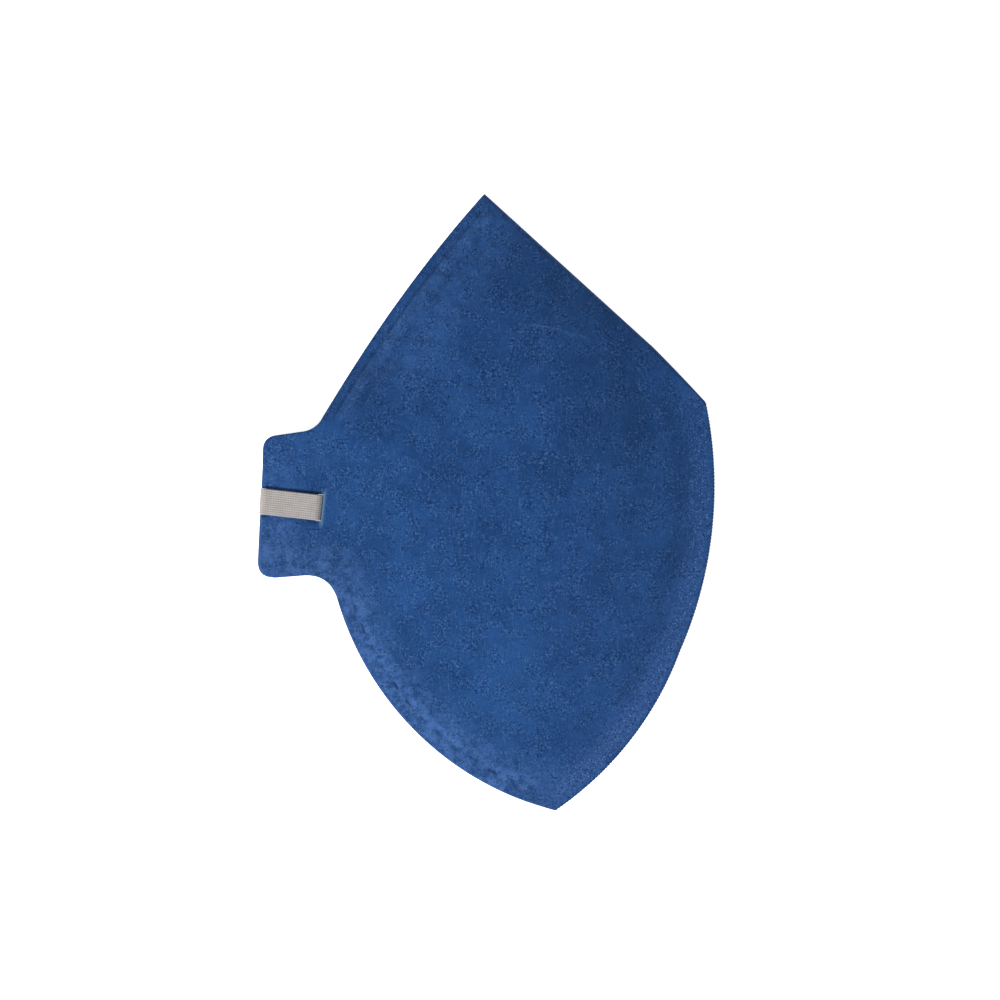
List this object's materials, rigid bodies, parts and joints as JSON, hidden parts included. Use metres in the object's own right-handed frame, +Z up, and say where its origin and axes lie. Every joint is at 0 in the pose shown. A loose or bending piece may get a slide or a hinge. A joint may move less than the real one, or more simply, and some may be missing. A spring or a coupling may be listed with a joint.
{
  "type": "fold-flat respirator mask",
  "caption": "Fold-flat cloth respirator lying folded in half, with a welded front seam, an open face side with slitted side tabs, and a flat elastic head strap.",
  "frame": {"origin": "on the surface that the mask lies on, under the middle of its bounding box", "axes": "+Z up out of the surface, +Y towards the nose, +X towards the welded front seam"},
  "size_m": [0.1186, 0.1604, 0.0132],
  "materials": {
    "nonwoven": "matte, fuzzy blue nonwoven",
    "elastic": "matte, finely ribbed light grey knitted elastic"
  },
  "bodies": {
    "root": {"mask_shell": "nonwoven", "head_strap": "elastic"}
  },
  "joints": []
}
